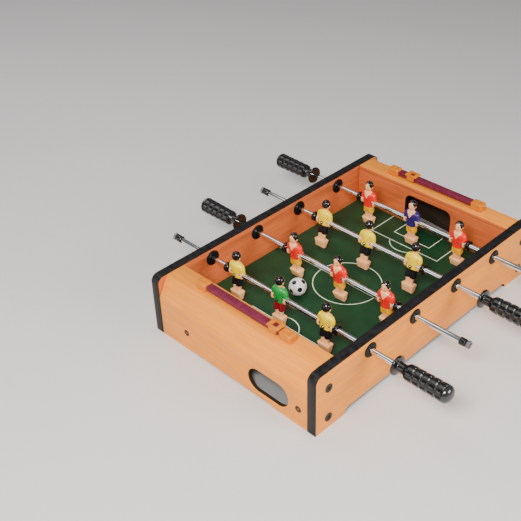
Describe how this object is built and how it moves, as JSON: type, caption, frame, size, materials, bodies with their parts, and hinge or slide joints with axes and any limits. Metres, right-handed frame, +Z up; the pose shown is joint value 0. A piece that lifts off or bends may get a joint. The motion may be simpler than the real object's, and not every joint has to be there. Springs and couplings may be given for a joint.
{
  "type": "tabletop foosball",
  "caption": "Tabletop foosball game: beech-grain box with a green pitch, chrome rods that slide and spin with moulded players, end scorers and ball outlets.",
  "frame": {"origin": "on the surface the table stands on, below the middle of the pitch", "axes": "+X along the side panels from the first rod to the fourth, +Y along the rods from the front panel to the back one, +Z up"},
  "size_m": [0.34, 0.3939, 0.0819],
  "materials": {
    "beech_laminate": "satin beech-grain laminate on fibreboard",
    "black_edging": "thin black edging, satin",
    "green_pitch": "dark green printed board with off-white lines, satin",
    "grey_tray": "dark grey painted fibreboard",
    "black_plastic": "glossy black moulding",
    "chrome": "bright plated steel tube",
    "amber_plastic": "amber moulding, semi-gloss",
    "maroon_plastic": "maroon moulding, satin",
    "yellow_shirt": "moulded figure: yellow shirt, black shorts",
    "red_shirt": "moulded figure: red shirt, yellow shorts",
    "green_shirt": "moulded figure: green shirt, dark red shorts",
    "purple_shirt": "moulded figure: dark purple shirt, yellow shorts",
    "white_plastic": "white moulding with black patches"
  },
  "bodies": {
    "cabinet": {"side_panel_front": "beech_laminate", "edge_band_front": "black_edging", "side_panel_back": "beech_laminate", "edge_band_back": "black_edging", "end_cover_left": "beech_laminate", "goal_wall_left": "beech_laminate", "ball_tray_left": "grey_tray", "end_cover_right": "beech_laminate", "goal_wall_right": "beech_laminate", "ball_tray_right": "grey_tray", "pitch_board": "green_pitch", "rod1_bush_front": "black_plastic", "rod1_bush_back": "black_plastic", "rod2_bush_front": "black_plastic", "rod2_bush_back": "black_plastic", "rod3_bush_front": "black_plastic", "rod3_bush_back": "black_plastic", "rod4_bush_front": "black_plastic", "rod4_bush_back": "black_plastic", "scorer_block_left_front": "amber_plastic", "scorer_block_left_back": "amber_plastic", "scorer_bar_left": "maroon_plastic", "scorer_block_right_front": "amber_plastic", "scorer_block_right_back": "amber_plastic", "scorer_bar_right": "maroon_plastic"},
    "rod1_bumpers": {"rod1_bumper_front": "black_plastic", "rod1_bumper_back": "black_plastic"},
    "rod1": {"rod1_tube": "chrome", "rod1_handle": "black_plastic", "rod1_end_cap": "black_plastic", "rod1_player_back": "yellow_shirt", "rod1_player_middle": "green_shirt", "rod1_player_front": "yellow_shirt"},
    "rod2_bumpers": {"rod2_bumper_front": "black_plastic", "rod2_bumper_back": "black_plastic"},
    "rod2": {"rod2_tube": "chrome", "rod2_handle": "black_plastic", "rod2_end_cap": "black_plastic", "rod2_player_back": "red_shirt", "rod2_player_middle": "red_shirt", "rod2_player_front": "red_shirt"},
    "rod3_bumpers": {"rod3_bumper_front": "black_plastic", "rod3_bumper_back": "black_plastic"},
    "rod3": {"rod3_tube": "chrome", "rod3_handle": "black_plastic", "rod3_end_cap": "black_plastic", "rod3_player_back": "yellow_shirt", "rod3_player_middle": "yellow_shirt", "rod3_player_front": "yellow_shirt"},
    "rod4_bumpers": {"rod4_bumper_front": "black_plastic", "rod4_bumper_back": "black_plastic"},
    "rod4": {"rod4_tube": "chrome", "rod4_handle": "black_plastic", "rod4_end_cap": "black_plastic", "rod4_player_back": "red_shirt", "rod4_player_middle": "purple_shirt", "rod4_player_front": "red_shirt"},
    "score_marker_left": {"scorer_slider_left": "amber_plastic"},
    "score_marker_right": {"scorer_slider_right": "amber_plastic"},
    "ball": {"ball": "white_plastic"}
  },
  "joints": [
    {"name": "rod1_slide", "type": "slide", "parent": "cabinet", "child": "rod1_bumpers", "axis": [0, 1, 0], "range_m": [-0.0264, 0.0204]},
    {"name": "rod1_spin", "type": "hinge", "parent": "rod1_bumpers", "child": "rod1", "pos_m": [-0.0975, 0.003, 0.0565], "axis": [0, 1, 0], "continuous": true},
    {"name": "rod2_slide", "type": "slide", "parent": "cabinet", "child": "rod2_bumpers", "axis": [0, 1, 0], "range_m": [-0.0074, 0.0394]},
    {"name": "rod2_spin", "type": "hinge", "parent": "rod2_bumpers", "child": "rod2", "pos_m": [-0.0325, -0.016, 0.0565], "axis": [0, 1, 0], "continuous": true},
    {"name": "rod3_slide", "type": "slide", "parent": "cabinet", "child": "rod3_bumpers", "axis": [0, 1, 0], "range_m": [-0.0255, 0.0213]},
    {"name": "rod3_spin", "type": "hinge", "parent": "rod3_bumpers", "child": "rod3", "pos_m": [0.0325, 0.0021, 0.0565], "axis": [0, 1, 0], "continuous": true},
    {"name": "rod4_slide", "type": "slide", "parent": "cabinet", "child": "rod4_bumpers", "axis": [0, 1, 0], "range_m": [-0.0164, 0.0304]},
    {"name": "rod4_spin", "type": "hinge", "parent": "rod4_bumpers", "child": "rod4", "pos_m": [0.0975, -0.007, 0.0565], "axis": [0, 1, 0], "continuous": true},
    {"name": "score_left_slide", "type": "slide", "parent": "cabinet", "child": "score_marker_left", "axis": [0, 1, 0], "range_m": [-0.0001, 0.0825]},
    {"name": "score_right_slide", "type": "slide", "parent": "cabinet", "child": "score_marker_right", "axis": [0, 1, 0], "range_m": [-0.0725, 0.0101]},
    {"name": "ball_lift", "type": "slide", "parent": "cabinet", "child": "ball", "axis": [0, 0, 1], "range_m": [0, 0.08]}
  ]
}
